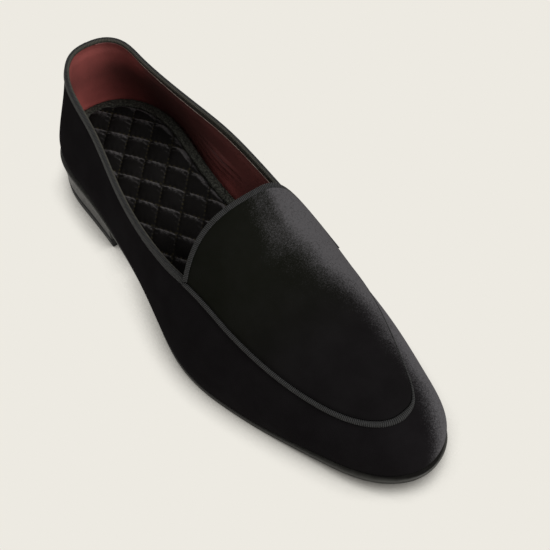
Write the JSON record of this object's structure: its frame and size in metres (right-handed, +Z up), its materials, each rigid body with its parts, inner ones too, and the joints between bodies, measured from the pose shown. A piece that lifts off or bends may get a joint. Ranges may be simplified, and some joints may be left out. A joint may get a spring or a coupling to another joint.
{
  "type": "slipper loafer",
  "caption": "Hollow slip-on dress slipper for the right foot: velvet upper with an apron edged in ribbed ribbon, bound collar, quilted insole, thin sole and low heel.",
  "frame": {"origin": "on the floor, under the middle of the shoe's bounding box", "axes": "+Y from the heel to the toe, +X to the outer side of the foot, +Z up"},
  "size_m": [0.0966, 0.286, 0.0836],
  "materials": {
    "velvet": "short black pile with a grey sheen",
    "ribbon": "black ribbed ribbon",
    "quilt": "black velvet quilted in diamonds",
    "sole_edge": "black edge dressing",
    "rubber": "matt black"
  },
  "bodies": {
    "root": {"outsole": "sole_edge", "heel_block": "sole_edge", "top_lift": "rubber", "upper": "velvet", "vamp_plug": "velvet", "apron_piping": "ribbon", "throat_binding": "ribbon", "collar_binding": "ribbon", "insole": "quilt", "insole_binding": "ribbon"}
  },
  "joints": []
}
